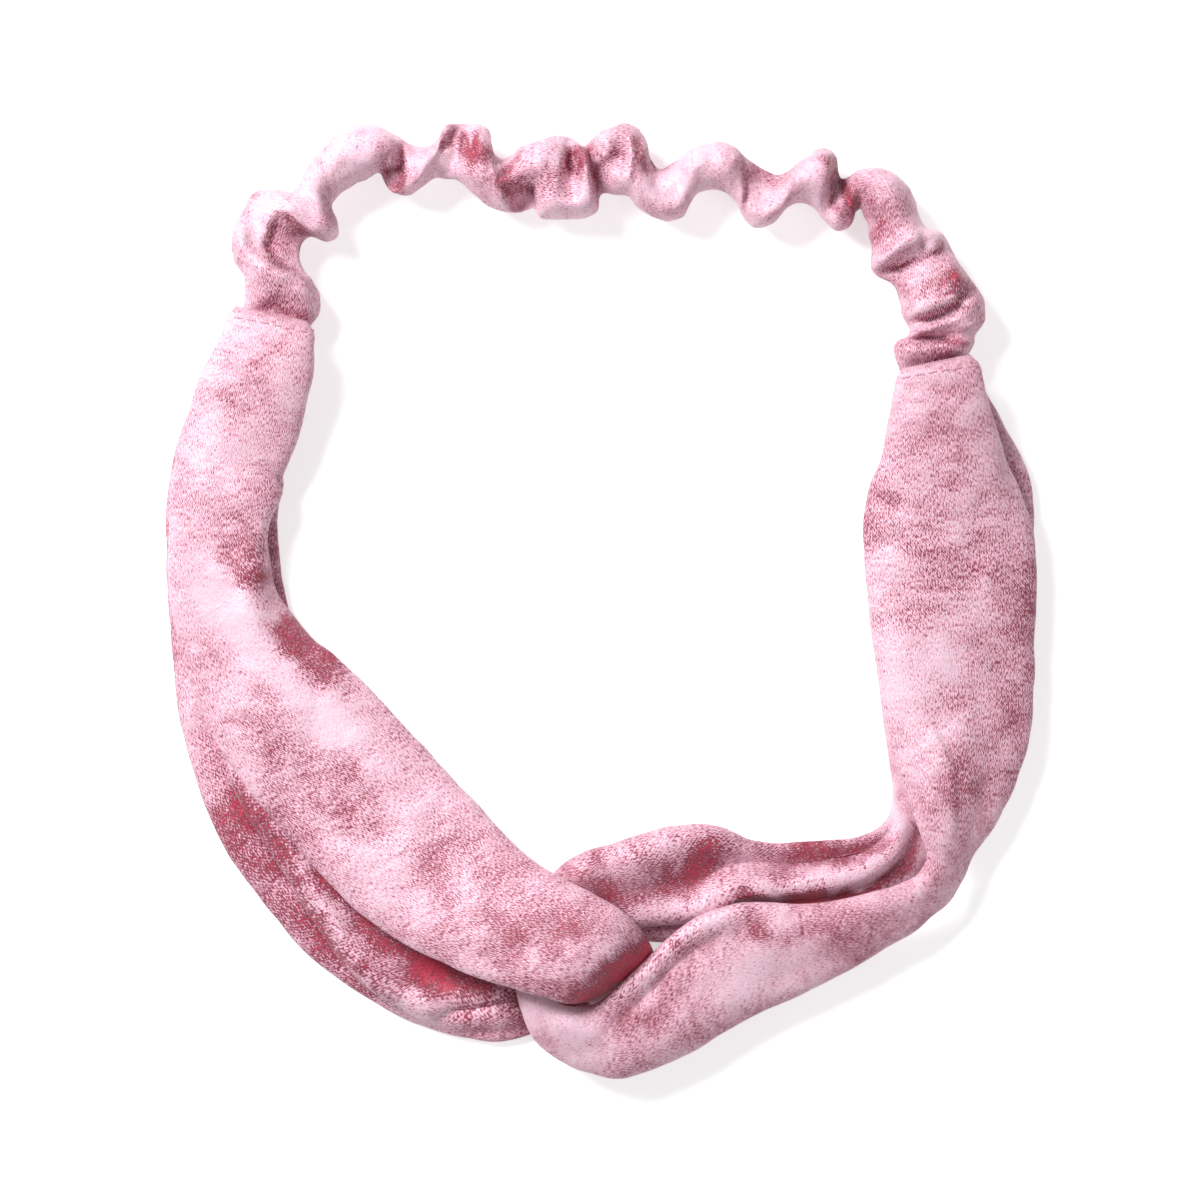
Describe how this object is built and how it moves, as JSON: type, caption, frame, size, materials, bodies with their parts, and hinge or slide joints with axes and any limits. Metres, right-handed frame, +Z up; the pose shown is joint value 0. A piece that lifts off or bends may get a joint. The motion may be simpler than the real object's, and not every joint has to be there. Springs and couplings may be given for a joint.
{
  "type": "headband",
  "caption": "Knotted satin headband: hooked fabric strips across the front and a gathered casing over elastic round the back.",
  "frame": {"origin": "centre of the headband's outline in plan, at the surface that it lies on", "axes": "+Y from the knot to the gathered back, +X to the wearer's side shown right, +Z up from the table"},
  "size_m": [0.1666, 0.1806, 0.0198],
  "materials": {
    "satin": "dusty pink crinkled satin with a soft sheen",
    "elastic": "flat woven elastic, off-white",
    "thread": "fine polyester sewing thread, dusty pink"
  },
  "bodies": {
    "crown": {"casing_crown": "satin", "elastic_crown": "elastic"},
    "sides": {"casing_left": "satin", "casing_right": "satin", "elastic_left": "elastic", "elastic_right": "elastic"},
    "left_loop": {"left_strip": "satin", "casing_left_end": "satin", "elastic_left_end": "elastic", "left_join_stitching": "thread", "left_elastic_tack": "thread"},
    "right_loop": {"right_strip": "satin", "casing_right_end": "satin", "elastic_right_end": "elastic", "right_join_stitching": "thread", "right_elastic_tack": "thread"}
  },
  "joints": [
    {"name": "elastic_stretch", "type": "slide", "parent": "crown", "child": "sides", "axis": [0, -1, 0], "range_m": [0, 0.03], "stiffness_N_per_m": 60},
    {"name": "left_swing", "type": "hinge", "parent": "sides", "child": "left_loop", "pos_m": [0.0068, -0.06805, 0.0098], "axis": [0, 0, 1], "range_deg": [0, 7], "stiffness_Nm_per_rad": 0.6},
    {"name": "right_swing", "type": "hinge", "parent": "sides", "child": "right_loop", "pos_m": [0.0068, -0.06805, 0.0098], "axis": [0, 0, -1], "range_deg": [0, 7], "stiffness_Nm_per_rad": 0.6}
  ]
}
